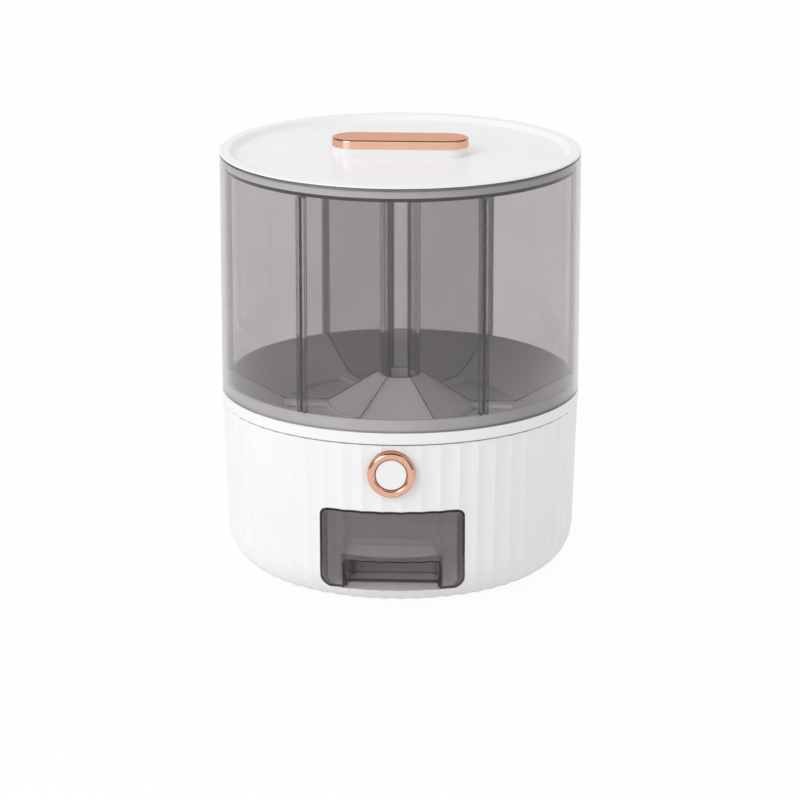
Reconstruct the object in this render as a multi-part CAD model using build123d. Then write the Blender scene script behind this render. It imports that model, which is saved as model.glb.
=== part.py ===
from build123d import *
import math
import os

# Rotating grain dispenser: a fluted base with a drawer and a push button, a clear bin
# of six compartments that turns on it, and a lift-off lid.
# Millimetres, Z up, origin on the table under the spindle, drawer and button towards -Y.

BODY_R = 115.0             # band, bin and lid

# Base shell
FOOT_RISE = 0.8            # underside of the base above the table
BASE_TOP_Z = 109.0         # rim of the base
BASE_STEP = 0.4            # rim inside the band
BASE_DRAFT = 3.5           # narrower where the taper would meet the underside
BASE_CORNER_R = 27.0       # bottom edge
BASE_WALL = 3.0
FLUTE_COUNT = 58
FLUTE_DEPTH = 0.75
FLUTE_SWEEP = 80.0         # degrees that the flutes run round the bottom edge
FLUTE_RUN_OUT = 0.8        # wider bend of the flutes there, so that they fade out
LEDGE_W = 9.0              # ring inside the wall that carries the deck
LEDGE_T = 4.0
LEDGE_BITE = 3.0           # screws of the deck in the ledge
FOOT_RING_INSET = 36.1     # middle of the rubber ring inside the foot's radius
FOOT_RING_W = 10.0
FOOT_RING_SINK = 1.5       # depth of its groove

# Bin, band and lid
SEAM = 1.1                 # turning gap between base and band
BAND_H = 7.1
BIN_H = 154.1
BIN_WALL = 2.8
BIN_EDGE = 0.9             # outer edges of the wall
LID_FLANGE_T = 1.0
LID_EDGE_R = 0.7
LID_DISH = 3.6             # dished face below the rim
LID_RIM_W = 6.5
LID_RIM_SLOPE = 3.5
LID_RIM_ROUND = 2.0
LID_PLATE = 2.0
LID_SKIRT_H = 7.3
LID_SKIRT_T = 2.2
LID_SEAL_H = 2.2
LID_SEAL_DROP = 0.4        # below the flange
LID_SEAL_SINK = 0.8
LID_SEAL_PROUD = 0.5

# Handle on the lid
HANDLE_L = 87.0
HANDLE_W = 28.0
PEDESTAL_H = 5.5
HANDLE_CAP_H = 5.5
HANDLE_CAP_EDGE = 1.2
PEDESTAL_INSET = 0.4
HANDLE_SCREW_INSET = 1.5   # inside the middle of the round ends

# Drawer window and drawer
WINDOW_W = 90.8
WINDOW_Z = 12.0
WINDOW_DROP = 43.2         # upper edge below the rim of the base
WINDOW_TOP_CORNER = 5.0
WINDOW_FOOT_CORNER = 8.0
DRAWER_GAP = 0.5           # round the drawer front
DRAWER_LAP = 2.9           # window beyond the tray, each side
DRAWER_DEPTH = 89.1        # back of the drawer behind the foot's radius
DRAWER_WALL = 2.0
DRAWER_EDGE_R = 6.0        # lower long edges
DRAWER_RIM_DROP = 3.5      # side walls below the top of the front
PULL_SIDE = 15.4           # finger opening inside the window, each side
PULL_TAPER = 4.0           # narrower at its back, each side
PULL_H = 19.5              # above the lower edge of the drawer front
PULL_RISE = 4.5            # ceiling higher inside
PULL_SLOPE_DEPTH = 18.9    # where the ceiling turns level, behind the foot's radius
PULL_BACK_DEPTH = 33.0
PULL_FLOOR_DEPTH = 20.0    # front edge of the tray's floor under the opening
PULL_CORNER = 2.5
PULL_BACK_CORNER = 5.0
PULL_EDGE = 1.5            # edges of the ceiling

# Drawer guide
GUIDE_T = 2.0
GUIDE_WALL_H = 16.0
GUIDE_SIDE_GAP = 0.5
GUIDE_BOSS_R = 4.5
GUIDE_BOSS_INSET = 8.5     # from the drawer's sides
GUIDE_BOSS_DEPTH = 27.1    # front pair behind the foot's radius
GUIDE_BOSS_END = 10.0      # rear pair from the drawer's back

# Deck with the discharge port
DECK_SINK = 6.0            # top of the deck below the rim of the base
DECK_T = 4.0
DECK_SCREW_COUNT = 6
PORT_W = 36.0
PORT_SHY = 2.0             # short of the trough's outer edge
PORT_CORNER = 3.0

# Chute and gate
CHUTE_WALL = 2.0
CHUTE_SIDE = 2.5           # inner side beyond the port
CHUTE_FRONT = 4.0
CHUTE_FLANGE = 8.0
CHUTE_FLANGE_T = 2.5
CHUTE_SCREW_INSET = 4.0    # inside the port's sides
CHUTE_BITE = 3.0           # screws of the chute in the deck
CHUTE_CORNER = 3.0
CHUTE_OVER_DRAWER = 3.0
SEAL_T = 0.5
FLAP_T = 2.0
FLAP_LAP = 1.5             # overlap round the port
HINGE_BACK = 3.0           # hinge behind the port
HINGE_DROP = 4.0           # hinge below the deck
GATE_SHAFT_R = 2.0
KNUCKLE_R = 3.4
GATE_ANGLE = 45.0
LEVER_T = 4.0
LEVER_ARM_W = 3.0
LEVER_NOSE_R = 2.5
LEVER_GAP = 1.5            # between chute and lever
SHAFT_END = 1.5            # shaft beyond the lever

# Button
BUTTON_DROP = 18.0         # axis below the rim of the base
BUTTON_TRAVEL = 8.0
RING_R = 14.75
RING_PROUD = 5.6
RING_SEAT = 1.1            # flat spot in the fluted wall
RING_SLEEVE_T = 2.0
RING_EDGE = 2.6
RING_LIP = 1.9
CAP_R = 9.75
CAP_SINK = 1.4             # below the front of the ring
CAP_EDGE = 0.8
CAP_WALL = 1.8
YOKE_INSET = 13.6          # front face of the yoke plate behind the rim's radius
YOKE_T = 3.0
YOKE_HUB_W = 26.0
ROD_H = 4.0
PRONG_W = 3.0
PRONG_LAP = 1.2            # above the middle of the lever's nose
ROD_SHELF_W = 8.0
ROD_SHELF_T = 2.0
SPRING_R = 4.2
SPRING_WIRE_R = 0.6
SPRING_TURNS = 6
SPRING_PIN_L = 7.0

# Bearing and spindle
BALL_R = 3.0
BALL_COUNT = 12
RACE_INSET = 21.6          # inside the upstand
RACE_W = 9.0
CAGE_T = 1.4
SPINDLE_R = 8.0
SPINDLE_FLANGE_R = 11.0
SPINDLE_FLANGE_T = 3.0
BOSS_R = 16.0
BOSS_H = 12.0
BUSH_T = 3.0
BUSH_FLANGE_R = 14.0
HUB_WALL = 3.5
WASHER_T = 1.5
SPINDLE_SCREW_R = 2.5
SPINDLE_SCREW_L = 12.0
SPINDLE_SCREW_HEAD_R = 4.5
SPINDLE_SCREW_HEAD_H = 3.0

# Funnel tray, column and dividers
UPSTAND_H = 7.8
UPSTAND_T = 2.2
TRAY_FLOOR = 2.5
TRAY_WALL = 2.6
TROUGH_SLOPE_W = 34.6      # outer slope of the trough
OUTLET_ANGLE = 46.0
OUTLET_EDGE = 1.5
SKIRT_T = 3.0
SKIRT_GAP = 1.6
COMPARTMENTS = 6
COLUMN_R = 14.0
COLUMN_WALL = 2.2
COLUMN_SLOT = 1.4          # depth of the divider slots
COLUMN_CAP_T = 3.0
COLUMN_CAP_EDGE = 1.8
COLUMN_SPIGOT = 5.0
DIVIDER_T = 2.0
DIVIDER_HEAD = 5.0         # top edge below the lid's plate
RIB_D = 3.0                # guide ribs on the bin wall
RIB_T = 1.5

# Clearances
GLIDE = 0.5                # tray floor over the deck
RUN = 0.3                  # between pieces that move past each other
FIT = 0.05                 # shaft in bore
SLOT = 0.2                 # plate in slot, each side
SEAT = 0.4                 # divider over the tray
SCREW_R = 1.5
SCREW_HEAD_R = 2.8
SCREW_HEAD_H = 1.8
SCREW_BITE = 6.0           # length in the piece that is screwed to

# Radii from the body's inwards
BASE_TOP_R = BODY_R - BASE_STEP
BASE_FOOT_R = BASE_TOP_R - BASE_DRAFT
FOOT_RING_R = BASE_FOOT_R - FOOT_RING_INSET
BIN_IN_R = BODY_R - BIN_WALL
UPSTAND_R = BIN_IN_R - SEAT
TROUGH_RIM_R = UPSTAND_R - UPSTAND_T
RACE_R = TROUGH_RIM_R - RACE_INSET
LID_SKIRT_R = BIN_IN_R - LID_SEAL_PROUD - RUN
COLUMN_IN_R = COLUMN_R - COLUMN_WALL
HUB_R = SPINDLE_R + BUSH_T
HUB_OUT_R = HUB_R + HUB_WALL
HUB_TOP_R = COLUMN_R + COLUMN_WALL

# The trough's cone and its level floor share the width inside the outer slope as 11 to 10
TROUGH_OUT = TROUGH_RIM_R - TROUGH_SLOPE_W
TROUGH_IN = HUB_TOP_R + (TROUGH_OUT - HUB_TOP_R) * 11 / 21
PORT_D = TROUGH_OUT - TROUGH_IN - PORT_SHY
PORT_R = TROUGH_IN + PORT_D / 2

# Levels from the table up
DECK_TOP_Z = BASE_TOP_Z - DECK_SINK
DECK_Z = DECK_TOP_Z - DECK_T
BUTTON_Z = BASE_TOP_Z - BUTTON_DROP
BALL_Z = DECK_TOP_Z + RUN + CAGE_T / 2
RACE_Z = DECK_TOP_Z + CAGE_T + 2 * RUN
TRAY_Z = DECK_TOP_Z + GLIDE
TRAY_FLOOR_Z = TRAY_Z + TRAY_FLOOR
BAND_Z = BASE_TOP_Z + SEAM
BIN_Z = BAND_Z + BAND_H
SPINDLE_TOP_Z = BIN_Z + RUN
UPSTAND_Z = BIN_Z + UPSTAND_H
BIN_TOP_Z = BIN_Z + BIN_H
LID_Z = BIN_TOP_Z + RUN
LID_TOP_Z = LID_Z + LID_FLANGE_T
LID_FACE_Z = LID_TOP_Z - LID_DISH
LID_PLATE_Z = LID_FACE_Z - LID_PLATE
LID_SKIRT_Z = LID_Z - LID_SKIRT_H
LID_SEAL_TOP_Z = LID_Z - LID_SEAL_DROP
LID_SEAL_Z = LID_SEAL_TOP_Z - LID_SEAL_H
HANDLE_CAP_Z = LID_FACE_Z + PEDESTAL_H
COLUMN_TOP_Z = LID_PLATE_Z - DIVIDER_HEAD
WINDOW_H = BASE_TOP_Z - WINDOW_DROP - WINDOW_Z
DRAWER_Z = WINDOW_Z + DRAWER_GAP
DRAWER_TOP_Z = WINDOW_Z + WINDOW_H - DRAWER_GAP

# Drawer and yoke from the wall inwards
DRAWER_W = WINDOW_W - 2 * DRAWER_LAP
DRAWER_BACK_Y = DRAWER_DEPTH - BASE_FOOT_R
PULL_W = WINDOW_W - 2 * PULL_SIDE
PULL_BACK_W = PULL_W - 2 * PULL_TAPER
PULL_SLOPE_Y = PULL_SLOPE_DEPTH - BASE_FOOT_R
PULL_BACK_Y = PULL_BACK_DEPTH - BASE_FOOT_R
PULL_FLOOR_Y = PULL_FLOOR_DEPTH - BASE_FOOT_R
GUIDE_BOSS_X = DRAWER_W / 2 - GUIDE_BOSS_INSET
GUIDE_BOSS_YS = (GUIDE_BOSS_DEPTH - BASE_FOOT_R, DRAWER_BACK_Y - GUIDE_BOSS_END)
YOKE_Y = YOKE_INSET - BASE_TOP_R

# The base's outer meridian: a tapered wall that runs into the rounded bottom edge
BASE_TILT = math.atan2(BASE_DRAFT, BASE_TOP_Z - FOOT_RISE)
CORNER_Z = FOOT_RISE + BASE_CORNER_R


def base_radius(z, inset=0.0):
    """Radius of the tapered wall at a height, inset square to the wall."""
    return BASE_FOOT_R + (z - FOOT_RISE) * math.tan(BASE_TILT) - inset / math.cos(BASE_TILT)


CORNER_X = base_radius(CORNER_Z, BASE_CORNER_R)
WALL_Y = -base_radius(BUTTON_Z)          # outside of the wall at the button
RING_SEAT_Y = WALL_Y + RING_SEAT
CHUTE_Z = WINDOW_Z + WINDOW_H + CHUTE_OVER_DRAWER
CHUTE_IN_X = PORT_W / 2 + CHUTE_SIDE
CHUTE_OUT_X = CHUTE_IN_X + CHUTE_WALL
CHUTE_FRONT_Y = -(PORT_R + PORT_D / 2 + CHUTE_FRONT)
HINGE_Y = -(PORT_R - PORT_D / 2 - HINGE_BACK)
HINGE_Z = DECK_Z - HINGE_DROP
CHUTE_BACK_Y = HINGE_Y + KNUCKLE_R + 3 * RUN
LEVER_X = CHUTE_OUT_X + LEVER_GAP
LEVER_ARM = BUTTON_TRAVEL / (2 * math.sin(math.radians(GATE_ANGLE / 2)))
NOSE_Y = HINGE_Y - BUTTON_TRAVEL / 2
NOSE_Z = HINGE_Z - LEVER_ARM * math.cos(math.radians(GATE_ANGLE / 2))
ROD_TOP_Z = HINGE_Z - LEVER_ARM - LEVER_NOSE_R - RUN
BUTTON_AXIS = Plane(origin=(0, 0, BUTTON_Z), x_dir=(1, 0, 0), z_dir=(0, -1, 0))
SPRING_FRONT_Y = YOKE_Y + YOKE_T
SPRING_BACK_Y = CHUTE_FRONT_Y - CHUTE_WALL


def turned(*outline):
    """A solid turned about Z from corners of (radius, height)."""
    return revolve(Plane.XZ * make_face(Polyline(*outline, close=True)), Axis.Z)


def ring(inner, outer, low, high):
    return turned((inner, low), (outer, low), (outer, high), (inner, high))


def disc(radius, low, high, x=0.0, y=0.0):
    return Pos(x, y, low) * Cylinder(radius, high - low, align=(Align.CENTER, Align.CENTER, Align.MIN))


def block(x, y, z):
    """A box from three (low, high) pairs."""
    middle = [(low + high) / 2 for low, high in (x, y, z)]
    return Pos(*middle) * Box(x[1] - x[0], y[1] - y[0], z[1] - z[0])


def rod_x(radius, x, y, z):
    """A round rod along X from a (low, high) pair."""
    return Pos((x[0] + x[1]) / 2, y, z) * Rot(0, 90, 0) * Cylinder(radius, x[1] - x[0])


def around(shape, count, first=0.0):
    """Copies of a shape spaced evenly about Z."""
    return [Rot(0, 0, first + k * 360 / count) * shape for k in range(count)]


def base_form(inset, top_z):
    """The base's outside as a solid, moved inwards by inset and cut level at top_z."""
    bend = CenterArc((CORNER_X, CORNER_Z), BASE_CORNER_R - inset, -90, 90 - math.degrees(BASE_TILT))
    rim = (base_radius(top_z, inset), top_z)
    rest = Polyline(bend @ 1, rim, (0, top_z), (0, FOOT_RISE + inset), bend @ 0)
    return revolve(Plane.XZ * make_face(bend + rest), Axis.Z)


def flute_cutter():
    """One concave flute down the wall and round the bottom edge, at the +X side."""
    half_pitch = math.pi / FLUTE_COUNT
    half_w = BASE_TOP_R * math.sin(half_pitch)
    arris = -BASE_TOP_R * (1 - math.cos(half_pitch))
    flute_r = (half_w ** 2 + FLUTE_DEPTH ** 2) / (2 * FLUTE_DEPTH)
    side = half_w + FLUTE_DEPTH / 2
    rise = arris - FLUTE_DEPTH + flute_r - math.sqrt(flute_r ** 2 - side ** 2)
    hollow = ThreePointArc((-side, rise), (0, arris - FLUTE_DEPTH), (side, rise))
    outside = Polyline((side, rise), (side, FLUTE_DEPTH), (-side, FLUTE_DEPTH), (-side, rise))
    above_z = BASE_TOP_Z + BASE_WALL
    middle = (CORNER_X - FLUTE_RUN_OUT * math.cos(BASE_TILT), CORNER_Z + FLUTE_RUN_OUT * math.sin(BASE_TILT))
    bend = CenterArc(middle, BASE_CORNER_R + FLUTE_RUN_OUT, -math.degrees(BASE_TILT), -FLUTE_SWEEP)
    path = Plane.XZ * (Line((base_radius(above_z), above_z), bend @ 0) + bend)
    start = Plane(origin=path @ 0, x_dir=(0, 1, 0), z_dir=path % 0)
    return sweep(start * make_face(hollow + outside), path=path)


def section(corners, rounds=()):
    """A face from corners, some of them rounded as given by (corner, radius)."""
    face = make_face(Polyline(*corners, close=True))
    for corner, radius in rounds:
        face = fillet(face.vertices().sort_by_distance((*corner, 0))[0], radius)
    return face


def spun(corners, rounds=()):
    """A solid turned about Z from a section with rounded corners."""
    return revolve(Plane.XZ * section(corners, rounds), Axis.Z)


def screw(x, y, head_z, length, up=False, grow=0.0):
    """A countersunk screw that points down or up from its head, or its hole when grown."""
    way = 1 if up else -1
    head_r = SCREW_HEAD_R + grow
    shank_r = SCREW_R + grow
    tip_z = head_z + way * length
    neck_z = head_z + way * (SCREW_HEAD_H + grow)
    form = turned((0, head_z), (head_r, head_z), (shank_r, neck_z), (shank_r, tip_z), (0, tip_z))
    return Pos(x, y, 0) * form


def flat_bar(low_y, high_y, corners, rounds=()):
    """A bar along Y with the given section in X and Z."""
    return extrude(Plane.XZ.offset(-high_y) * section(corners, rounds), high_y - low_y)


def box_corners(half_w, low_z, high_z):
    return (-half_w, low_z), (half_w, low_z), (half_w, high_z), (-half_w, high_z)


def window_bar(inset):
    """The drawer window as a bar through the front wall, moved inwards by inset."""
    corners = box_corners(WINDOW_W / 2 - inset, WINDOW_Z + inset, WINDOW_Z + WINDOW_H - inset)
    radii = [WINDOW_FOOT_CORNER] * 2 + [WINDOW_TOP_CORNER] * 2
    rounds = [(corner, radius - inset) for corner, radius in zip(corners, radii)]
    return flat_bar(-2 * BODY_R, DRAWER_BACK_Y, corners, rounds)


def fluted_wall():
    """The base's open-topped wall and floor with its flutes, before anything is cut in it."""
    cutters = around(flute_cutter(), FLUTE_COUNT, -90)
    form = base_form(0, BASE_TOP_Z) - cutters[0::2] - cutters[1::2]
    return form - base_form(BASE_WALL, BASE_TOP_Z + BASE_WALL)


FLUTED_WALL = fluted_wall()
LEDGE_IN_R = base_radius(DECK_Z, BASE_WALL) - LEDGE_W
DECK_SCREW_R = LEDGE_IN_R + LEDGE_W / 2
YOKE_X = LEVER_X + LEVER_T
SLEEVE_R = CAP_R + RUN
SLEEVE_OUT_R = SLEEVE_R + RING_SLEEVE_T
GUIDE_SCREWS = [(side * GUIDE_BOSS_X, y) for side in (-1, 1) for y in GUIDE_BOSS_YS]
DECK_SCREWS = [
    (DECK_SCREW_R * math.cos(math.radians(a)), DECK_SCREW_R * math.sin(math.radians(a)))
    for a in [k * 360 / DECK_SCREW_COUNT for k in range(DECK_SCREW_COUNT)]
]


def base_shell():
    foot = DECK_Z - LEDGE_T - LEDGE_W
    ledge = turned(
        (base_radius(DECK_Z, BASE_WALL / 2), DECK_Z),
        (LEDGE_IN_R, DECK_Z),
        (LEDGE_IN_R, DECK_Z - LEDGE_T),
        (base_radius(foot, BASE_WALL / 2), foot),
    )
    yoke_room = YOKE_X + GLIDE * 4
    ledge -= block((-yoke_room, yoke_room), (-2 * BODY_R, 0), (foot - 1, DECK_Z + 1))
    bosses = [disc(GUIDE_BOSS_R, FOOT_RISE, WINDOW_Z - GUIDE_T, x, y) for x, y in GUIDE_SCREWS]
    bosses = [boss & base_form(BASE_WALL / 2, BASE_TOP_Z) for boss in bosses]
    shell = FLUTED_WALL + ledge + bosses
    shell -= window_bar(0)
    seat = BUTTON_AXIS * disc(RING_R + RUN, -RING_SEAT_Y, 2 * BODY_R)
    hole = BUTTON_AXIS * disc(SLEEVE_OUT_R + FIT, -YOKE_Y, 2 * BODY_R)
    shell -= [seat, hole]
    groove_r = FOOT_RING_W / 2 + FIT
    shell -= ring(FOOT_RING_R - groove_r, FOOT_RING_R + groove_r, 0, FOOT_RISE + FOOT_RING_SINK)
    shell -= [screw(x, y, DECK_TOP_Z, DECK_T + LEDGE_BITE, grow=FIT) for x, y in DECK_SCREWS]
    shell -= [screw(x, y, WINDOW_Z, GUIDE_T + SCREW_BITE, grow=FIT) for x, y in GUIDE_SCREWS]
    return shell


def foot_ring():
    half = FOOT_RING_W / 2
    return ring(FOOT_RING_R - half, FOOT_RING_R + half, 0, FOOT_RISE + FOOT_RING_SINK)


CHUTE_SCREW_YS = (
    CHUTE_FRONT_Y - CHUTE_WALL - CHUTE_FLANGE / 2,
    CHUTE_BACK_Y + CHUTE_WALL + CHUTE_FLANGE / 2,
)
CHUTE_SCREW_X = PORT_W / 2 - CHUTE_SCREW_INSET
CHUTE_SCREWS = [(side * CHUTE_SCREW_X, y) for side in (-1, 1) for y in CHUTE_SCREW_YS]


def chute_screw(x, y, grow=0.0):
    return screw(x, y, DECK_Z - CHUTE_FLANGE_T, CHUTE_FLANGE_T + CHUTE_BITE, up=True, grow=grow)


def rounded_rect(width, depth, corner, x=0.0, y=0.0):
    return Pos(x, y) * RectangleRounded(width, depth, corner)


def port_bar(grow, low, high):
    """The discharge port as an upright bar, made wider all round by grow."""
    outline = rounded_rect(PORT_W + 2 * grow, PORT_D + 2 * grow, PORT_CORNER, 0, -PORT_R)
    return Pos(0, 0, low) * extrude(outline, high - low)


def race_groove():
    return Pos(0, 0, BALL_Z) * Torus(RACE_R, BALL_R + RUN)


def base_deck():
    deck = disc(base_radius(DECK_Z, BASE_WALL) - RUN, DECK_Z, DECK_TOP_Z)
    deck += disc(BOSS_R, DECK_Z - BOSS_H, DECK_Z)
    deck -= disc(SPINDLE_R + FIT, DECK_Z - BOSS_H, DECK_TOP_Z)
    deck -= port_bar(0, DECK_Z, DECK_TOP_Z)
    deck -= race_groove()
    notch = SLEEVE_OUT_R + RUN * 3
    deck -= block((-notch, notch), (-2 * BODY_R, YOKE_Y), (DECK_Z, DECK_TOP_Z))
    cap_end = YOKE_Y + BUTTON_TRAVEL + 2 * RUN
    deck -= block((-SLEEVE_R, SLEEVE_R), (-2 * BODY_R, cap_end), (DECK_Z, DECK_TOP_Z))
    deck -= [screw(x, y, DECK_TOP_Z, DECK_T, grow=FIT) for x, y in DECK_SCREWS]
    deck -= [chute_screw(x, y, FIT) for x, y in CHUTE_SCREWS]
    return deck


def deck_screws():
    return [screw(x, y, DECK_TOP_Z, DECK_T + LEDGE_BITE) for x, y in DECK_SCREWS]


def guide_screws():
    return [screw(x, y, WINDOW_Z, GUIDE_T + SCREW_BITE) for x, y in GUIDE_SCREWS]


def chute_screws():
    return [chute_screw(x, y) for x, y in CHUTE_SCREWS]


def drawer_guide():
    """An open channel with a floor, two rails and a back stop, shaped to the wall at its front."""
    half = DRAWER_W / 2 + GUIDE_SIDE_GAP
    back = DRAWER_BACK_Y + RUN
    top = WINDOW_Z + GUIDE_WALL_H
    channel = block((-half - GUIDE_T, half + GUIDE_T), (-BODY_R, back + GUIDE_T), (WINDOW_Z - GUIDE_T, top))
    channel -= block((-half, half), (-BODY_R, back), (WINDOW_Z, top))
    channel &= base_form(BASE_WALL + RUN, BASE_TOP_Z)
    return channel - [screw(x, y, WINDOW_Z, GUIDE_T, grow=FIT) for x, y in GUIDE_SCREWS]


def chute_bar(grow, low, high):
    """The chute's inside as an upright bar, made wider all round by grow."""
    width = 2 * (CHUTE_IN_X + grow)
    depth = CHUTE_BACK_Y - CHUTE_FRONT_Y + 2 * grow
    outline = rounded_rect(width, depth, CHUTE_CORNER, 0, (CHUTE_FRONT_Y + CHUTE_BACK_Y) / 2)
    return Pos(0, 0, low) * extrude(outline, high - low)


def chute_duct():
    """The duct under the port, with its flanges, shaft holes, rod shelves and spring pin."""
    front = CHUTE_FRONT_Y - CHUTE_WALL
    back = CHUTE_BACK_Y + CHUTE_WALL
    flange_y = (front - CHUTE_FLANGE, back + CHUTE_FLANGE)
    duct = chute_bar(CHUTE_WALL, CHUTE_Z, DECK_Z)
    duct += block((-CHUTE_OUT_X, CHUTE_OUT_X), flange_y, (DECK_Z - CHUTE_FLANGE_T, DECK_Z))
    shelf_z = ROD_TOP_Z - ROD_H - RUN
    shelf_y = (-PORT_R - ROD_SHELF_W / 2, -PORT_R + ROD_SHELF_W / 2)
    duct += block((-YOKE_X, YOKE_X), shelf_y, (shelf_z - ROD_SHELF_T, shelf_z))
    pin_r = SPRING_R - SPRING_WIRE_R - GLIDE
    duct += BUTTON_AXIS * disc(pin_r, -front - CHUTE_WALL / 2, -front + SPRING_PIN_L)
    duct -= chute_bar(0, CHUTE_Z, DECK_Z)
    duct -= rod_x(GATE_SHAFT_R + FIT, (-CHUTE_OUT_X, CHUTE_OUT_X), HINGE_Y, HINGE_Z)
    return duct - [chute_screw(x, y, FIT) for x, y in CHUTE_SCREWS]


def gate_seal():
    low = DECK_Z - SEAL_T
    return port_bar(FLAP_LAP, low, DECK_Z) - port_bar(0, low, DECK_Z)


def gate_flap():
    top = DECK_Z - SEAL_T - RUN
    half = PORT_W / 2 + FLAP_LAP
    tip = -(PORT_R + PORT_D / 2 + FLAP_LAP)
    flap = block((-half, half), (tip, HINGE_Y), (top - FLAP_T, top))
    flap += rod_x(KNUCKLE_R, (-half, half), HINGE_Y, HINGE_Z)
    return flap - rod_x(GATE_SHAFT_R + FIT, (-half, half), HINGE_Y, HINGE_Z)


def gate_shaft():
    end = YOKE_X + SHAFT_END
    return rod_x(GATE_SHAFT_R, (-end, end), HINGE_Y, HINGE_Z)


def gate_lever(side):
    """A lever outside the chute, whose round nose sits in the yoke's fork."""
    x = tuple(sorted((side * LEVER_X, side * YOKE_X)))
    arm = block(x, (-LEVER_ARM_W / 2, LEVER_ARM_W / 2), (-LEVER_ARM, 0))
    lever = Pos(0, HINGE_Y, HINGE_Z) * Rot(-GATE_ANGLE / 2, 0, 0) * arm
    lever += rod_x(KNUCKLE_R, x, HINGE_Y, HINGE_Z)
    lever += rod_x(LEVER_NOSE_R, x, NOSE_Y, NOSE_Z)
    return lever - rod_x(GATE_SHAFT_R + FIT, x, HINGE_Y, HINGE_Z)


def button_ring():
    seat = -RING_SEAT_Y
    front = seat + RING_PROUD
    end = -YOKE_Y + RUN
    corners = (
        (RING_R, seat), (RING_R, front), (SLEEVE_R, front),
        (SLEEVE_R, end), (SLEEVE_OUT_R, end), (SLEEVE_OUT_R, seat),
    )
    return BUTTON_AXIS * spun(corners, (((RING_R, front), RING_EDGE), ((SLEEVE_R, front), RING_LIP)))


def button_cap():
    front = -RING_SEAT_Y + RING_PROUD - CAP_SINK
    back = -YOKE_Y
    cap = spun(((0, back), (CAP_R, back), (CAP_R, front), (0, front)), (((CAP_R, front), CAP_EDGE),))
    cap -= ring(SCREW_HEAD_R + CAP_WALL, CAP_R - CAP_WALL, back, front - CAP_WALL)
    cap -= screw(0, 0, back - YOKE_T, YOKE_T + SCREW_BITE, up=True, grow=FIT)
    return BUTTON_AXIS * cap


def push_yoke():
    """The plate behind the button with two rods to the gate's levers."""
    low = ROD_TOP_Z - ROD_H
    plate_y = (YOKE_Y, YOKE_Y + YOKE_T)
    yoke = block((-YOKE_X, YOKE_X), plate_y, (low, ROD_TOP_Z + ROD_H))
    yoke += block((-YOKE_HUB_W / 2, YOKE_HUB_W / 2), plate_y, (low, DECK_Z - GLIDE * 2))
    reach = LEVER_NOSE_R + RUN
    prongs = ((NOSE_Y - reach - PRONG_W, NOSE_Y - reach), (NOSE_Y + reach, NOSE_Y + reach + PRONG_W))
    for side in (-1, 1):
        x = tuple(sorted((side * LEVER_X, side * YOKE_X)))
        yoke += block(x, (YOKE_Y, prongs[1][1]), (low, ROD_TOP_Z))
        yoke += [block(x, y, (low, NOSE_Z + PRONG_LAP)) for y in prongs]
    return yoke - BUTTON_AXIS * screw(0, 0, -YOKE_Y - YOKE_T, YOKE_T, up=True, grow=FIT)


def yoke_screw():
    return BUTTON_AXIS * screw(0, 0, -YOKE_Y - YOKE_T, YOKE_T + SCREW_BITE, up=True)


def coil_path(radius, low, high, turns):
    """A helix about Z as pairs of tangent arcs, one pair for each quarter turn."""
    climb = (high - low) / (2 * math.pi * turns)
    length = math.hypot(radius, climb)
    angles = [k * math.pi / 2 for k in range(4 * turns + 1)]
    points = [Vector(radius * math.cos(a), radius * math.sin(a), low + climb * a) for a in angles]
    ways = [Vector(-radius * math.sin(a), radius * math.cos(a), climb) / length for a in angles]
    arcs = []
    for start, end, leave, arrive in zip(points, points[1:], ways, ways[1:]):
        chord = end - start
        along = chord.dot(leave + arrive)
        spread = 2 * (1 - leave.dot(arrive))
        reach = (math.sqrt(along ** 2 + spread * chord.dot(chord)) - along) / spread
        middle = (start + end + (leave - arrive) * reach) / 2
        turn = (end - arrive * reach) - (start + leave * reach)
        arcs.append(TangentArc(start, middle, tangent=leave))
        arcs.append(TangentArc(middle, end, tangent=turn))
    return Wire(arcs)


def button_spring():
    """The return spring between the yoke and the chute's front wall."""
    low = -SPRING_BACK_Y + SPRING_WIRE_R + RUN
    high = -SPRING_FRONT_Y - SPRING_WIRE_R - RUN
    path = coil_path(SPRING_R, low, high, SPRING_TURNS)
    start = Plane(origin=path @ 0, z_dir=path % 0)
    print("button spring, gap between turns", (high - low) / SPRING_TURNS - 2 * SPRING_WIRE_R)
    return BUTTON_AXIS * sweep(start * Circle(SPRING_WIRE_R), path=path)


def spindle_pin():
    seat = DECK_Z - BOSS_H
    low = seat - SPINDLE_FLANGE_T
    pin = turned(
        (0, low), (SPINDLE_FLANGE_R, low), (SPINDLE_FLANGE_R, seat),
        (SPINDLE_R, seat), (SPINDLE_R, SPINDLE_TOP_Z), (0, SPINDLE_TOP_Z),
    )
    return pin - disc(SPINDLE_SCREW_R + FIT, SPINDLE_TOP_Z - SPINDLE_SCREW_L - GLIDE, SPINDLE_TOP_Z)


def spindle_washer():
    return ring(SPINDLE_SCREW_R + FIT, HUB_R - SEAT, SPINDLE_TOP_Z, SPINDLE_TOP_Z + WASHER_T)


def spindle_screw():
    seat = SPINDLE_TOP_Z + WASHER_T
    head = disc(SPINDLE_SCREW_HEAD_R, seat, seat + SPINDLE_SCREW_HEAD_H)
    return head + disc(SPINDLE_SCREW_R, SPINDLE_TOP_Z - SPINDLE_SCREW_L, seat)


BALL_SPOTS = [Rot(0, 0, k * 360 / BALL_COUNT) * Pos(RACE_R, 0, BALL_Z) for k in range(BALL_COUNT)]


def bearing_balls():
    return [spot * Sphere(BALL_R) for spot in BALL_SPOTS]


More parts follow.
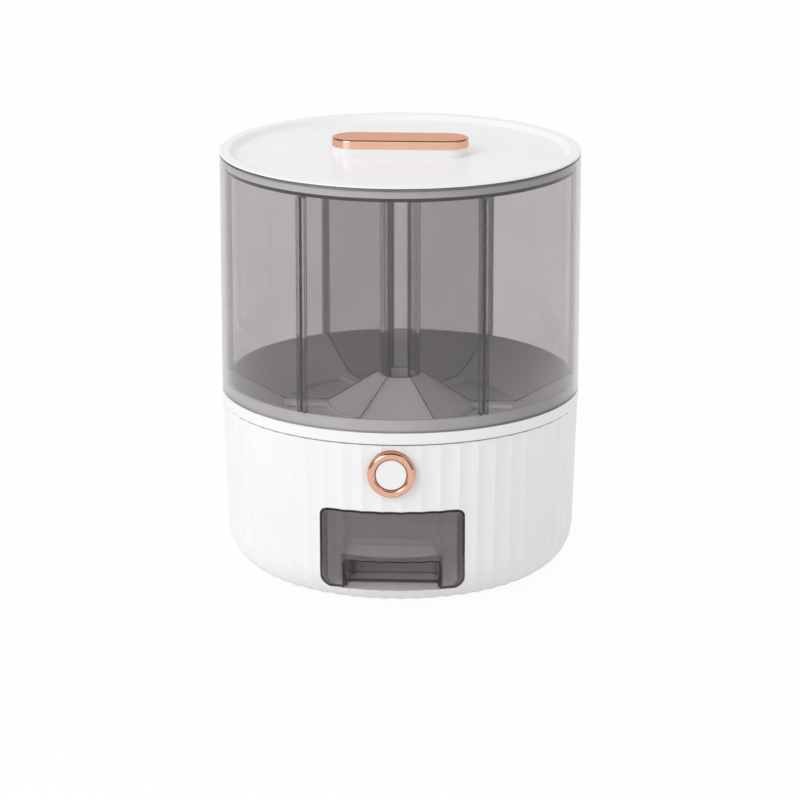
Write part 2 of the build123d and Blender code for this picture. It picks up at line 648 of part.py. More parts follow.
def ball_cage():
    low = DECK_TOP_Z + RUN
    cage = ring(RACE_R - RACE_W / 2, RACE_R + RACE_W / 2, low, low + CAGE_T)
    return cage - [spot * Cylinder(BALL_R + RUN, 2 * CAGE_T) for spot in BALL_SPOTS]


OUTER_SLOPE = (UPSTAND_Z - TRAY_FLOOR_Z) / (TROUGH_RIM_R - TROUGH_OUT)
INNER_SLOPE = (UPSTAND_Z - TRAY_FLOOR_Z) / (TROUGH_IN - HUB_TOP_R)


def outer_under(r):
    """Underside of the trough's outer slope at a radius."""
    return TRAY_Z + (r - TROUGH_OUT - TRAY_WALL) * OUTER_SLOPE


def inner_under(r):
    """Underside of the trough's inner cone at a radius."""
    return TRAY_Z + (TROUGH_IN - TRAY_WALL - r) * INNER_SLOPE


def outlet():
    """One fan-shaped outlet through the trough's floor, at the +X side."""
    low = TRAY_Z - 1
    high = TRAY_FLOOR_Z + 1
    inner = TROUGH_IN + OUTLET_EDGE
    outer = TROUGH_OUT - OUTLET_EDGE
    face = Plane.XZ * section(((inner, low), (outer, low), (outer, high), (inner, high)))
    return Rot(0, 0, -OUTLET_ANGLE / 2) * revolve(face, Axis.Z, OUTLET_ANGLE)


def funnel_tray():
    """The turning floor of the bin: band, upstand, trough with outlets, race and hub."""
    skirt_out = base_radius(BASE_TOP_Z, BASE_WALL) - SKIRT_GAP
    skirt_in = skirt_out - SKIRT_T
    race_in = RACE_R - RACE_W / 2
    race_out = RACE_R + RACE_W / 2
    tray = turned(
        (BODY_R, BIN_Z), (UPSTAND_R, BIN_Z), (UPSTAND_R, UPSTAND_Z), (TROUGH_RIM_R, UPSTAND_Z),
        (TROUGH_OUT, TRAY_FLOOR_Z), (TROUGH_IN, TRAY_FLOOR_Z), (HUB_TOP_R, UPSTAND_Z), (HUB_R, UPSTAND_Z),
        (HUB_R, RACE_Z), (HUB_OUT_R, RACE_Z), (HUB_OUT_R, inner_under(HUB_OUT_R)),
        (TROUGH_IN - TRAY_WALL, TRAY_Z), (TROUGH_OUT + TRAY_WALL, TRAY_Z),
        (race_in, outer_under(race_in)), (race_in, RACE_Z), (race_out, RACE_Z),
        (race_out, outer_under(race_out)), (skirt_in, outer_under(skirt_in)), (skirt_in, RACE_Z),
        (skirt_out, RACE_Z), (skirt_out, BAND_Z), (BODY_R, BAND_Z),
    )
    return tray - race_groove() - around(outlet(), COMPARTMENTS, -90)


def hub_bush():
    low = DECK_TOP_Z + RUN
    return turned(
        (SPINDLE_R + FIT, low), (BUSH_FLANGE_R, low), (BUSH_FLANGE_R, RACE_Z),
        (HUB_R - FIT, RACE_Z), (HUB_R - FIT, BIN_Z), (SPINDLE_R + FIT, BIN_Z),
    )


SLOT_HALF = DIVIDER_T / 2 + SLOT
FIRST_DIVIDER = 180 / COMPARTMENTS - 90


def bin_shell():
    """The clear wall with a pair of guide ribs for each divider."""
    corners = ((BIN_IN_R, BIN_Z), (BODY_R, BIN_Z), (BODY_R, BIN_TOP_Z), (BIN_IN_R, BIN_TOP_Z))
    shell = spun(corners, [(corner, BIN_EDGE) for corner in corners[1:3]])
    x = (BIN_IN_R - RIB_D, BIN_IN_R + BIN_WALL / 2)
    z = (UPSTAND_Z + SEAT, COLUMN_TOP_Z)
    for y in ((-SLOT_HALF - RIB_T, -SLOT_HALF), (SLOT_HALF, SLOT_HALF + RIB_T)):
        shell += around(block(x, y, z), COMPARTMENTS, FIRST_DIVIDER)
    return shell


def centre_column():
    tube = ring(COLUMN_IN_R, COLUMN_R, UPSTAND_Z, COLUMN_TOP_Z)
    slot = block((COLUMN_R - COLUMN_SLOT, COLUMN_R + 1), (-SLOT_HALF, SLOT_HALF), (UPSTAND_Z, COLUMN_TOP_Z))
    return tube - around(slot, COMPARTMENTS, FIRST_DIVIDER)


def column_cap():
    top = COLUMN_TOP_Z + COLUMN_CAP_T
    plug_r = COLUMN_IN_R - FIT
    low = COLUMN_TOP_Z - COLUMN_SPIGOT
    corners = (
        (0, low), (plug_r, low), (plug_r, COLUMN_TOP_Z),
        (COLUMN_R, COLUMN_TOP_Z), (COLUMN_R, top), (0, top),
    )
    return spun(corners, (((COLUMN_R, top), COLUMN_CAP_EDGE),))


def divider():
    """One plate from the column to the wall, its lower edge shaped to the trough, at the +X side."""
    inner = COLUMN_R - COLUMN_SLOT + SLOT
    outer = BIN_IN_R - SEAT
    low = UPSTAND_Z + SEAT
    outline = (
        (inner, low), (HUB_TOP_R, low), (TROUGH_IN, TRAY_FLOOR_Z + SEAT), (TROUGH_OUT, TRAY_FLOOR_Z + SEAT),
        (TROUGH_RIM_R, low), (outer, low), (outer, COLUMN_TOP_Z), (inner, COLUMN_TOP_Z),
    )
    return extrude(Plane.XZ * section(outline), DIVIDER_T / 2, both=True)


HANDLE_SCREW_X = (HANDLE_L - HANDLE_W) / 2 - HANDLE_SCREW_INSET
HANDLE_SCREWS = [(-HANDLE_SCREW_X, 0), (HANDLE_SCREW_X, 0)]


def handle_screw(x, y, grow=0.0):
    length = LID_PLATE + PEDESTAL_H + HANDLE_CAP_H / 2
    return screw(x, y, LID_PLATE_Z, length, up=True, grow=grow)


def lid_disc():
    """The dished lid with its rim, skirt and seal groove."""
    rim_in = BODY_R - LID_RIM_W
    skirt_in = LID_SKIRT_R - LID_SKIRT_T
    groove_r = LID_SKIRT_R - LID_SEAL_SINK
    dish = (rim_in - LID_RIM_SLOPE, LID_FACE_Z)
    corners = (
        (0, LID_PLATE_Z), (skirt_in, LID_PLATE_Z), (skirt_in, LID_SKIRT_Z), (LID_SKIRT_R, LID_SKIRT_Z),
        (LID_SKIRT_R, LID_SEAL_Z), (groove_r, LID_SEAL_Z), (groove_r, LID_SEAL_TOP_Z),
        (LID_SKIRT_R, LID_SEAL_TOP_Z), (LID_SKIRT_R, LID_Z), (BODY_R, LID_Z),
        (BODY_R, LID_TOP_Z), (rim_in, LID_TOP_Z), dish, (0, LID_FACE_Z),
    )
    rounds = (
        ((BODY_R, LID_TOP_Z), LID_EDGE_R), ((rim_in, LID_TOP_Z), LID_RIM_ROUND), (dish, LID_RIM_ROUND),
    )
    return spun(corners, rounds) - [handle_screw(x, y, FIT) for x, y in HANDLE_SCREWS]


def lid_seal():
    inner = LID_SKIRT_R - LID_SEAL_SINK + FIT
    return ring(inner, LID_SKIRT_R + LID_SEAL_PROUD, LID_SEAL_Z + FIT, LID_SEAL_TOP_Z - FIT)


def handle_pedestal():
    outline = SlotOverall(HANDLE_L - 2 * PEDESTAL_INSET, HANDLE_W - 2 * PEDESTAL_INSET)
    pedestal = Pos(0, 0, LID_FACE_Z) * extrude(outline, PEDESTAL_H)
    return pedestal - [handle_screw(x, y, FIT) for x, y in HANDLE_SCREWS]


def handle_cap():
    cap = extrude(SlotOverall(HANDLE_L, HANDLE_W), HANDLE_CAP_H)
    cap = fillet(cap.edges().group_by(Axis.Z)[-1], HANDLE_CAP_EDGE)
    return Pos(0, 0, HANDLE_CAP_Z) * cap - [handle_screw(x, y, FIT) for x, y in HANDLE_SCREWS]


def handle_screws():
    return [handle_screw(x, y) for x, y in HANDLE_SCREWS]


def pull_form(grow):
    """The hollow of the finger pull, made larger all round by grow."""
    top = DRAWER_Z + PULL_H
    high = top + PULL_RISE + grow
    back = PULL_BACK_Y + grow
    floor = DRAWER_Z + DRAWER_WALL - grow
    low = DRAWER_Z - 2 * DRAWER_WALL
    front = -2 * BODY_R
    wall = -base_radius(top)
    side = ((front, low), (front, top + grow), (wall, top + grow), (PULL_SLOPE_Y, high), (back, high))
    side += ((back, floor), (PULL_FLOOR_Y + grow, floor), (PULL_FLOOR_Y + grow, low))
    half = PULL_W / 2 + grow
    half_back = PULL_BACK_W / 2 + grow
    plan = ((-half, front), (half, front), (half, wall))
    plan += ((half_back, back), (-half_back, back), (-half, wall))
    edges = [(corner, PULL_EDGE + grow) for corner in side[3:5]]
    corners = [(corner, PULL_BACK_CORNER + grow) for corner in plan[3:5]]
    profile = extrude(Plane.YZ * section(side, edges), PULL_W, both=True)
    return profile & Pos(0, 0, low) * extrude(section(plan, corners), DRAWER_TOP_Z)


def drawer_tray():
    """The drawer: a tray behind a fluted front that fills the window, with a finger pull."""
    inside = base_form(BASE_WALL, BASE_TOP_Z)
    reach = base_form(BASE_WALL / 2, BASE_TOP_Z)
    rim = DRAWER_TOP_Z - DRAWER_RIM_DROP
    half = DRAWER_W / 2
    corners = box_corners(half, DRAWER_Z, rim)
    tray = flat_bar(-BODY_R, DRAWER_BACK_Y, corners, [(corner, DRAWER_EDGE_R) for corner in corners[:2]])
    tray &= reach
    corners = box_corners(half - DRAWER_WALL, DRAWER_Z + DRAWER_WALL, rim + DRAWER_WALL)
    rounds = [(corner, DRAWER_EDGE_R - DRAWER_WALL) for corner in corners[:2]]
    hollow = flat_bar(-BODY_R, DRAWER_BACK_Y - DRAWER_WALL, corners, rounds) & inside
    hump = pull_form(DRAWER_WALL) & tray
    front = FLUTED_WALL & window_bar(DRAWER_GAP)
    drawer = tray - hollow + hump + front
    top = DRAWER_Z + PULL_H
    corners = box_corners(PULL_W / 2, 0, top)
    notch = flat_bar(-BODY_R, PULL_SLOPE_Y, corners, [(corner, PULL_CORNER) for corner in corners[2:]])
    return drawer - (pull_form(0) & inside) - (notch - inside)


def write(name, shape):
    """Save one piece, or a group of separate like pieces, under its name."""
    solids = shape if isinstance(shape, list) else [shape]
    group = Compound(children=[Solid(piece.solid().wrapped) for piece in solids])
    export_step(group if len(solids) > 1 else solids[0].solid(), "parts/" + name + ".step")


PIECES = (
    base_shell, foot_ring, base_deck, deck_screws, drawer_guide, guide_screws,
    chute_duct, chute_screws, gate_seal, gate_flap, gate_shaft,
    button_ring, button_cap, push_yoke, yoke_screw, button_spring,
    spindle_pin, spindle_washer, spindle_screw, bearing_balls, ball_cage,
    funnel_tray, hub_bush, bin_shell, centre_column, column_cap,
    lid_disc, lid_seal, handle_pedestal, handle_cap, handle_screws, drawer_tray,
)

os.makedirs("parts", exist_ok=True)
for make in PIECES:
    write(make.__name__, make())
for side, hand in ((-1, "left"), (1, "right")):
    write("gate_lever_" + hand, gate_lever(side))
for number, plate in enumerate(around(divider(), COMPARTMENTS, FIRST_DIVIDER), 1):
    write("divider_" + str(number), plate)
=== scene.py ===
import math

import bmesh
import bpy
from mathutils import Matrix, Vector
from mathutils.bvhtree import BVHTree


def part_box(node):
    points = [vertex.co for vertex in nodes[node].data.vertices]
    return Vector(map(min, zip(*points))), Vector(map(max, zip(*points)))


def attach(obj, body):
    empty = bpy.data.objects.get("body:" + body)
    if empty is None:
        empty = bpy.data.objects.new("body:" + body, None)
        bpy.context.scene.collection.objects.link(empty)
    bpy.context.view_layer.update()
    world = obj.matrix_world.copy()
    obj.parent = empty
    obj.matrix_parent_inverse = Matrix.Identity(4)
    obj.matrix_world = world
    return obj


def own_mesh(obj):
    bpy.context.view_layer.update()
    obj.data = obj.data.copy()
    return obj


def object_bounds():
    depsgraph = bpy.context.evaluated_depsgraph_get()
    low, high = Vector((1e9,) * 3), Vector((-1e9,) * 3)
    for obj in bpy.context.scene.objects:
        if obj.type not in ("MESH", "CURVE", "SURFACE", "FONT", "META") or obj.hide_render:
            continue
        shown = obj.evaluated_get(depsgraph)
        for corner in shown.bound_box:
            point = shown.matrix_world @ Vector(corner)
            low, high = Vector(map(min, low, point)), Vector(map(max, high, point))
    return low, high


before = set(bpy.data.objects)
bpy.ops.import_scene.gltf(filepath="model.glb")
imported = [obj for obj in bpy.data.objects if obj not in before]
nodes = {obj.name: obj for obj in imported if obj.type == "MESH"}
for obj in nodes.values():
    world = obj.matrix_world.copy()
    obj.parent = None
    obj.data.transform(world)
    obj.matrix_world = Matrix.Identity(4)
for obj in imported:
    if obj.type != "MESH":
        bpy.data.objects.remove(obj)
cad_low, cad_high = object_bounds()
scene = bpy.context.scene
scene.view_settings.view_transform = "Standard"

# Camera: where it looks, how far off it stands and how it is turned
AIM = Vector((0.0, 0.0, 0.140))
CAMERA_DISTANCE = 2.300
CAMERA_RISE = math.radians(15.2)
CAMERA_TURN = math.radians(2.8)
CAMERA_LENS = 160.3
SENSOR_WIDTH = 36.0
FRAME_SHIFT = (-0.0004, -0.0635)
FAR_CLIP = 50.0

# Optical values that the clear pieces share
PLASTIC_IOR = 1.53
SMOKE_WAVES = 45
WAVE_HEIGHT, WAVE_STRENGTH = 0.0004, 0.05

# The noise's usual span, and how much open space round a point makes it an edge that gets painted shade or a
# flat
NOISE_LOW, NOISE_HIGH = 0.3, 0.7
EDGE_OPEN, FLAT_OPEN = 0.62, 0.92
EDGE_SAMPLES = 6

# Colour sockets of a Mix node, as their names stand several times on it
MIX_FIRST, MIX_SECOND, MIX_RESULT = 6, 7, 2

# The bead along the drawer front, a near-black painted shade for the dark look of the plastic's edge: its
# thickness, how far inside the edge it runs, and its corners
BEAD_R = 0.00038
BEAD_INSET = 0.0006
TOP_ROUND, FOOT_ROUND = 0.004, 0.007
NOTCH_HALF, NOTCH_TOP = 0.0306, 0.0326
NOTCH_ROUND, TOE_ROUND = 0.0028, 0.0006
ROUND_STEPS = 8
STRAIGHT_STEP = 0.001

# The thin black ring round the foot of the lid's skirt
SKIRT_RING_R, SKIRT_RING_DROP = 0.0014, 0.0004
SKIRT_RING_STEPS = 160

# Floor and light of the studio
FLOOR_SIZE = 12.0
FLOOR_WHITE = 0.90
FLOOR_GLOW = 0.95
AMBIENT = 0.76
KEY_PLACE, KEY_POWER = (-1.35, -1.55, 1.3), 16.0
TOP_PLACE, TOP_POWER = (-0.3, 0.2, 2.2), 7.0
LAMP_SIZE = 1.2
SEEN = ("Is Camera Ray", "Is Glossy Ray", "Is Transmission Ray")

# How bright the room is in a mirror, by height, in front of the object and behind it, and towards the sides
FRONT_SHADES = ((0.06, 1.0), (0.70, 0.95), (0.84, 0.10))
BACK_SHADES = ((0.06, 1.0), (0.28, 0.72), (0.55, 0.34), (0.84, 0.10))
SIDE_START, SIDE_END = 0.58, 0.86
SIDE_SHADE = 0.28


def place_camera():
    lens = bpy.data.cameras.new("camera")
    lens.lens = CAMERA_LENS
    lens.sensor_width = SENSOR_WIDTH
    lens.shift_x, lens.shift_y = FRAME_SHIFT
    lens.clip_end = FAR_CLIP
    camera = bpy.data.objects.new("camera", lens)
    level = math.cos(CAMERA_RISE)
    way = Vector((math.sin(CAMERA_TURN) * level, -math.cos(CAMERA_TURN) * level, math.sin(CAMERA_RISE)))
    camera.location = AIM + way * CAMERA_DISTANCE
    camera.rotation_euler = (-way).to_track_quat("-Z", "Y").to_euler()
    scene.collection.objects.link(camera)
    scene.camera = camera


def start_material(name):
    material = bpy.data.materials.new(name)
    material.use_nodes = True
    tree = material.node_tree
    return material, tree, tree.nodes["Principled BSDF"]


def object_noise(tree, scale, detail=2.0):
    """Noise on the piece's own coordinates, in features per metre."""
    place = tree.nodes.new("ShaderNodeTexCoord")
    grain = tree.nodes.new("ShaderNodeTexNoise")
    grain.inputs["Scale"].default_value = scale
    grain.inputs["Detail"].default_value = detail
    tree.links.new(place.outputs["Object"], grain.inputs["Vector"])
    return grain.outputs["Fac"]


def spanned(tree, source, from_low, from_high, to_low=0.0, to_high=1.0):
    """The source's span from_low to from_high, laid on to_low to to_high."""
    span = tree.nodes.new("ShaderNodeMapRange")
    span.inputs["From Min"].default_value = from_low
    span.inputs["From Max"].default_value = from_high
    span.inputs["To Min"].default_value = to_low
    span.inputs["To Max"].default_value = to_high
    tree.links.new(source, span.inputs["Value"])
    return span.outputs["Result"]


def worked_out(tree, operation, source, other=None):
    """A Math node's result for a source and, where it takes two, another source or a fixed number."""
    maths = tree.nodes.new("ShaderNodeMath")
    maths.operation = operation
    tree.links.new(source, maths.inputs[0])
    if isinstance(other, float):
        maths.inputs[1].default_value = other
    elif other is not None:
        tree.links.new(other, maths.inputs[1])
    return maths.outputs["Value"]


def colour_mix(tree, share, first, second, way="MIX"):
    """Two colours blended by a share. Each may be fixed or come from another node."""
    blend = tree.nodes.new("ShaderNodeMix")
    blend.data_type = "RGBA"
    blend.blend_type = way
    for place, value in ((0, share), (MIX_FIRST, first), (MIX_SECOND, second)):
        if isinstance(value, bpy.types.NodeSocket):
            tree.links.new(value, blend.inputs[place])
        elif isinstance(value, tuple):
            blend.inputs[place].default_value = (*value, 1.0)
        else:
            blend.inputs[place].default_value = value
    return blend.outputs[MIX_RESULT]


def shader_mix(tree, share, first, second):
    """Two shaders blended by a share."""
    blend = tree.nodes.new("ShaderNodeMixShader")
    tree.links.new(share, blend.inputs["Fac"])
    tree.links.new(first, blend.inputs[1])
    tree.links.new(second, blend.inputs[2])
    return blend.outputs["Shader"]


def tinted(tree, scale, first, second, detail=2.0):
    """A colour that drifts between two shades over the piece."""
    drift = spanned(tree, object_noise(tree, scale, detail), NOISE_LOW, NOISE_HIGH)
    return colour_mix(tree, drift, first, second)


def raised(tree, scale, height, strength, detail=2.0):
    """Normals of a surface that is slightly uneven."""
    bump = tree.nodes.new("ShaderNodeBump")
    bump.inputs["Strength"].default_value = strength
    bump.inputs["Distance"].default_value = height
    tree.links.new(object_noise(tree, scale, detail), bump.inputs["Height"])
    return bump.outputs["Normal"]


def varied_roughness(tree, skin, scale, low, high, detail=2.0):
    source = object_noise(tree, scale, detail)
    tree.links.new(spanned(tree, source, NOISE_LOW, NOISE_HIGH, low, high), skin.inputs["Roughness"])


def plain_finish(name, scale, first, second, roughness, detail=2.0):
    """A finish of one even gloss, with a colour that drifts between two shades."""
    material, tree, skin = start_material(name)
    tree.links.new(tinted(tree, scale, first, second, detail), skin.inputs["Base Color"])
    skin.inputs["Roughness"].default_value = roughness
    return material, skin


def white_satin():
    """Moulded white plastic with a fine satin grain."""
    material, tree, skin = start_material("white_satin")
    tree.links.new(tinted(tree, 14, (0.895, 0.895, 0.897), (0.87, 0.871, 0.875)), skin.inputs["Base Color"])
    varied_roughness(tree, skin, 700, 0.30, 0.40)
    tree.links.new(raised(tree, 1400, 0.00008, 0.12, 3.0), skin.inputs["Normal"])
    return material


def white_inner():
    """The same plastic on hidden pieces."""
    return plain_finish("white_inner", 20, (0.85, 0.85, 0.855), (0.82, 0.822, 0.83), 0.42)[0]


def let_light_in(tree, skin):
    """Lamps shine through the clear wall, so that what stands behind it is lit."""
    path = tree.nodes.new("ShaderNodeLightPath")
    clear = tree.nodes.new("ShaderNodeBsdfTransparent")
    surface = shader_mix(tree, path.outputs["Is Shadow Ray"], skin.outputs["BSDF"], clear.outputs["BSDF"])
    tree.links.new(surface, tree.nodes["Material Output"].inputs["Surface"])


def painted_edge_shade(tree, colour, edge, reach):
    """The colour with painted shade along the edges, standing in for the dark look where one sees a long way
    through the plastic.
    """
    near = tree.nodes.new("ShaderNodeAmbientOcclusion")
    near.inside = True
    near.only_local = True
    near.samples = EDGE_SAMPLES
    near.inputs["Distance"].default_value = reach
    return colour_mix(tree, spanned(tree, near.outputs["AO"], EDGE_OPEN, FLAT_OPEN), edge, colour)


def dye_plastic(tree, colour, density):
    """Takes up light on its way through the plastic."""
    dye = tree.nodes.new("ShaderNodeVolumeAbsorption")
    dye.inputs["Color"].default_value = (*colour, 1.0)
    dye.inputs["Density"].default_value = density
    tree.links.new(dye.outputs["Volume"], tree.nodes["Material Output"].inputs["Volume"])


def clear_plastic(name, tints, edge, reach):
    """Clear plastic, faintly wavy, with a tint that drifts between two shades and painted shade along the
    edges.
    """
    material, tree, skin = start_material(name)
    tree.links.new(painted_edge_shade(tree, tinted(tree, *tints), edge, reach), skin.inputs["Base Color"])
    skin.inputs["IOR"].default_value = PLASTIC_IOR
    tree.links.new(raised(tree, SMOKE_WAVES, WAVE_HEIGHT, WAVE_STRENGTH), skin.inputs["Normal"])
    let_light_in(tree, skin)
    return material, tree, skin


def smoked_clear():
    """Smoke-tinted clear plastic, darker the further light goes through it."""
    tints = (18, (0.95, 0.945, 0.945), (0.92, 0.91, 0.915))
    # The dark colour passed here is the painted shade along the edges.
    material, tree, skin = clear_plastic("smoked_clear", tints, (0.08, 0.07, 0.07), 0.0015)
    skin.inputs["Roughness"].default_value = 0.02
    skin.inputs["Transmission Weight"].default_value = 1.0
    dye_plastic(tree, (0.50, 0.465, 0.455), 145.0)
    return material


def smoked_drawer():
    """The drawer's plastic: the same smoke, a little milky."""
    tints = (22, (0.87, 0.80, 0.818), (0.84, 0.77, 0.788))
    # The dark colour passed here is the painted shade along the edges.
    material, tree, skin = clear_plastic("smoked_drawer", tints, (0.06, 0.05, 0.06), 0.0011)
    skin.inputs["Roughness"].default_value = 0.03
    skin.inputs["Transmission Weight"].default_value = 0.93
    dye_plastic(tree, (0.58, 0.53, 0.545), 90.0)
    return material


def painted_shade_black():
    """Near-black painted shade for the bead along the drawer front's edge, where the plastic looks dark."""
    material, skin = plain_finish("painted_shade_black", 90, (0.020, 0.017, 0.026), (0.012, 0.010, 0.017), 0.3)
    skin.inputs["Specular IOR Level"].default_value = 0.2
    return material


def rose_gold(name, first, second):
    """Polished rose-gold plating over plastic, with a slight waviness."""
    material, tree, skin = start_material(name)
    tree.links.new(tinted(tree, 60, first, second), skin.inputs["Base Color"])
    skin.inputs["Metallic"].default_value = 1.0
    skin.inputs["Specular Tint"].default_value = (0.93, 0.72, 0.62, 1.0)
    varied_roughness(tree, skin, 260, 0.04, 0.09, 4.0)
    tree.links.new(raised(tree, 110, 0.0003, 0.05), skin.inputs["Normal"])
    return material


def acetal():
    """Unpainted off-white engineering plastic of the mechanism."""
    return plain_finish("acetal", 60, (0.80, 0.79, 0.75), (0.75, 0.74, 0.70), 0.38)[0]


def bright_steel():
    """Zinc-plated steel of screws, pins, spring and balls."""
    material, skin = plain_finish("bright_steel", 500, (0.62, 0.62, 0.63), (0.53, 0.53, 0.55), 0.28, 3.0)
    skin.inputs["Metallic"].default_value = 1.0
    return material


def black_rubber():
    """Matte rubber of the foot ring."""
    return plain_finish("black_rubber", 300, (0.028, 0.028, 0.03), (0.018, 0.018, 0.019), 0.8, 3.0)[0]


def milky_silicone():
    """Soft, half-clear silicone of the gate's seal."""
    material, skin = plain_finish("milky_silicone", 80, (0.78, 0.78, 0.78), (0.72, 0.72, 0.72), 0.5)
    skin.inputs["Transmission Weight"].default_value = 0.3
    return material


def grey_silicone():
    """Grey silicone of the lid's seal."""
    return plain_finish("grey_silicone", 80, (0.46, 0.45, 0.45), (0.42, 0.41, 0.41), 0.55)[0]


# A finish for each material slot, and for the nodes that differ from their slot
FINISHES = {
    "white_plastic": white_satin(),
    "smoke_clear": smoked_clear(),
    "rose_gold": rose_gold("rose_gold", (0.90, 0.53, 0.385), (0.87, 0.49, 0.35)),
    "natural_acetal": acetal(),
    "steel": bright_steel(),
    "black_rubber": black_rubber(),
    "clear_silicone": milky_silicone(),
    "grey_silicone": grey_silicone(),
}
WHITE_INNER = white_inner()
OWN_FINISHES = {
    "base_deck": WHITE_INNER,
    "drawer_guide": WHITE_INNER,
    "column_cap": WHITE_INNER,
    "drawer_tray": smoked_drawer(),
    "button_ring": rose_gold("deep_rose_gold", (0.80, 0.455, 0.325), (0.76, 0.42, 0.295)),
}


def dress_nodes():
    for name, piece in nodes.items():
        for slot in piece.material_slots:
            kind = slot.material.name.split(".")[0]
            slot.material = OWN_FINISHES.get(name, FINISHES[kind])


def let_spring_shorten():
    """Gives the return spring, which the button's travel presses together from its front, a mesh of its own.
    """
    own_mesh(nodes["button_spring"])


def front_corners():
    """Corners of the drawer front, just inside its edge, as x, z and the radius of the round."""
    low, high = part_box("drawer_tray")
    side, foot, top = high.x - BEAD_INSET, low.z + BEAD_INSET, high.z - BEAD_INSET
    right = [(side, top, TOP_ROUND), (side, foot, FOOT_ROUND)]
    right += [(NOTCH_HALF, foot, TOE_ROUND), (NOTCH_HALF, NOTCH_TOP, NOTCH_ROUND)]
    return right + [(-x, z, radius) for x, z, radius in reversed(right)]


def front_outline():
    """The outline of the drawer front in closely spaced steps."""
    corners = [(Vector((x, z)), radius) for x, z, radius in front_corners()]
    outline = []
    for k, (here, radius) in enumerate(corners):
        onward, next_radius = corners[(k + 1) % len(corners)]
        arrive = (here - corners[k - 1][0]).normalized()
        leave = (onward - here).normalized()
        middle = here - arrive * radius + leave * radius
        for step in range(ROUND_STEPS + 1):
            angle = step / ROUND_STEPS * math.pi / 2
            outline.append(middle - leave * radius * math.cos(angle) + arrive * radius * math.sin(angle))
        start, far = here + leave * radius, onward - leave * next_radius
        runs = max(2, int((far - start).length / STRAIGHT_STEP))
        outline += [start.lerp(far, n / runs) for n in range(1, runs)]
    return outline


def lay_bead(name, points, thickness, finish, body):
    """A closed round bead that follows the points and moves with a body."""
    line = bpy.data.curves.new(name, "CURVE")
    line.dimensions = "3D"
    line.bevel_depth = thickness
    line.bevel_resolution = 2
    run = line.splines.new("POLY")
    run.points.add(len(points) - 1)
    for knot, point in zip(run.points, points):
        knot.co = (*point, 1.0)
    run.use_cyclic_u = True
    run.use_smooth = True
    line.materials.append(finish)
    bead = bpy.data.objects.new(name, line)
    scene.collection.objects.link(bead)
    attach(bead, body)


def painted_shade_bead():
    """The rounded bead along the drawer front's edge, painted near-black as shade for the dark look of the
    plastic's edge.
    """
    front = BVHTree.FromObject(nodes["drawer_tray"], bpy.context.evaluated_depsgraph_get())
    inwards = Vector((0.0, 1.0, 0.0))
    points = [front.ray_cast(Vector((spot.x, cad_low.y, spot.y)), inwards)[0] for spot in front_outline()]
    lay_bead("drawer_painted_shade_bead", points, BEAD_R, painted_shade_black(), "drawer")


def lid_skirt_ring():
    """A thin black ring round the foot of the lid's skirt, as far out as the seal above it."""
    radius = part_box("lid_seal")[1].x - SKIRT_RING_R
    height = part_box("lid_disc")[0].z - SKIRT_RING_DROP
    turns = [step / SKIRT_RING_STEPS * math.tau for step in range(SKIRT_RING_STEPS)]
    points = [(radius * math.cos(turn), radius * math.sin(turn), height) for turn in turns]
    lay_bead("lid_skirt_ring", points, SKIRT_RING_R, FINISHES["black_rubber"], "lid")


def seen_rays(tree, kinds):
    """1 for rays of the named kinds, 0 for the rest."""
    path = tree.nodes.new("ShaderNodeLightPath")
    total = path.outputs[kinds[0]]
    for kind in kinds[1:]:
        total = worked_out(tree, "MAXIMUM", total, path.outputs[kind])
    return total


def lay_floor():
    """A white floor that is nearly even where it is seen and keeps the object's shadow."""
    form = bmesh.new()
    bmesh.ops.create_grid(form, x_segments=1, y_segments=1, size=FLOOR_SIZE)
    mesh = bpy.data.meshes.new("floor")
    form.to_mesh(mesh)
    form.free()
    floor = bpy.data.objects.new("floor", mesh)
    scene.collection.objects.link(floor)
    material, tree, skin = start_material("floor_white")
    skin.inputs["Base Color"].default_value = (FLOOR_WHITE, FLOOR_WHITE, FLOOR_WHITE, 1.0)
    skin.inputs["Roughness"].default_value = 0.9
    glow = tree.nodes.new("ShaderNodeEmission")
    share = worked_out(tree, "MULTIPLY", seen_rays(tree, SEEN), FLOOR_GLOW)
    surface = shader_mix(tree, share, skin.outputs["BSDF"], glow.outputs["Emission"])
    tree.links.new(surface, tree.nodes["Material Output"].inputs["Surface"])
    mesh.materials.append(material)


def shade_by_height(tree, height, shades):
    """A grey for each height, from a short list of heights and shades."""
    ramp = tree.nodes.new("ShaderNodeValToRGB")
    stops = ramp.color_ramp.elements
    while len(stops) < len(shades):
        stops.new(0.5)
    for stop, (place, shade) in zip(stops, shades):
        stop.position = place
        stop.color = (shade, shade, shade, 1.0)
    tree.links.new(height, ramp.inputs["Fac"])
    return ramp.outputs["Color"]


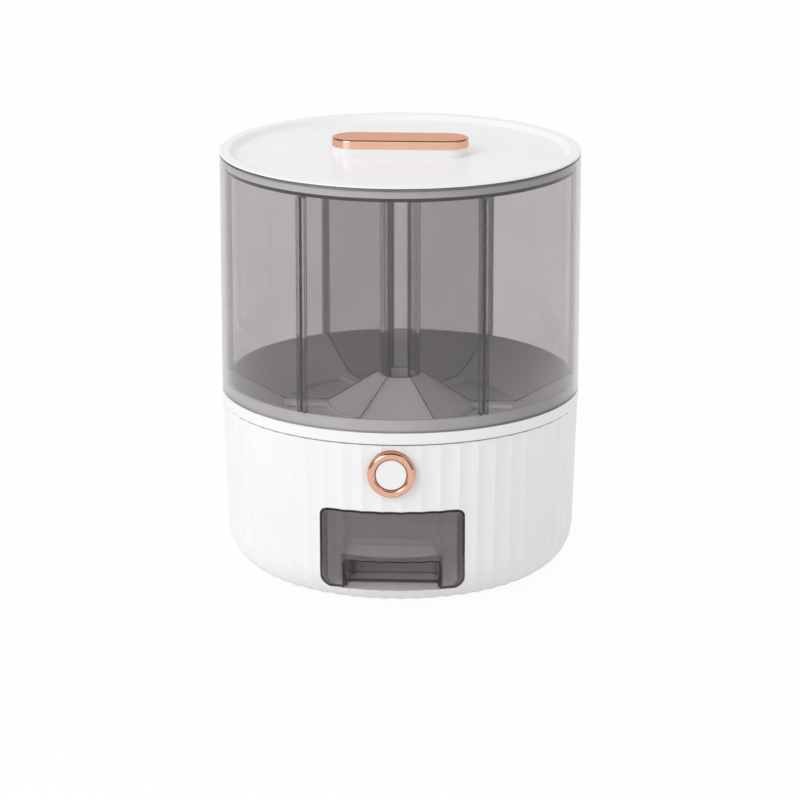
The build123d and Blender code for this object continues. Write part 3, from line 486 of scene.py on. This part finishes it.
def mirrored_room(tree):
    """White for what is seen directly, shaded by height and to the sides for what is seen in a gloss."""
    place = tree.nodes.new("ShaderNodeTexCoord")
    split = tree.nodes.new("ShaderNodeSeparateXYZ")
    tree.links.new(place.outputs["Generated"], split.inputs["Vector"])
    across, along, height = (split.outputs[axis] for axis in "XYZ")
    behind = worked_out(tree, "GREATER_THAN", along, 0.0)
    front_half = shade_by_height(tree, height, FRONT_SHADES)
    back_half = shade_by_height(tree, height, BACK_SHADES)
    halves = colour_mix(tree, behind, front_half, back_half)
    aside = worked_out(tree, "ABSOLUTE", across)
    sides = spanned(tree, aside, SIDE_START, SIDE_END, 1.0, SIDE_SHADE)
    shaded = colour_mix(tree, 1.0, halves, sides, "MULTIPLY")
    path = tree.nodes.new("ShaderNodeLightPath")
    return colour_mix(tree, path.outputs["Is Glossy Ray"], (1.0, 1.0, 1.0), shaded)


def light_world():
    """Even light from all sides, with a white backdrop where it is seen."""
    world = bpy.data.worlds.new("studio")
    scene.world = world
    world.use_nodes = True
    tree = world.node_tree
    room = tree.nodes["Background"]
    room.inputs["Color"].default_value = (1.0, 1.0, 1.0, 1.0)
    room.inputs["Strength"].default_value = AMBIENT
    backdrop = tree.nodes.new("ShaderNodeBackground")
    tree.links.new(mirrored_room(tree), backdrop.inputs["Color"])
    lit, shown = room.outputs["Background"], backdrop.outputs["Background"]
    surface = shader_mix(tree, seen_rays(tree, SEEN), lit, shown)
    tree.links.new(surface, tree.nodes["World Output"].inputs["Surface"])


def hang_lamp(name, place, power):
    """A soft square lamp that faces the middle of the object."""
    light = bpy.data.lights.new(name, "AREA")
    light.size = LAMP_SIZE
    light.energy = power
    lamp = bpy.data.objects.new(name, light)
    lamp.location = place
    lamp.rotation_euler = (AIM - Vector(place)).to_track_quat("-Z", "Y").to_euler()
    scene.collection.objects.link(lamp)
    return lamp


def light_studio():
    light_world()
    hang_lamp("key_lamp", KEY_PLACE, KEY_POWER)
    top_lamp = hang_lamp("top_lamp", TOP_PLACE, TOP_POWER)
    top_lamp.visible_glossy = False


place_camera()
lay_floor()
light_studio()
dress_nodes()
let_spring_shorten()
painted_shade_bead()
lid_skirt_ring()
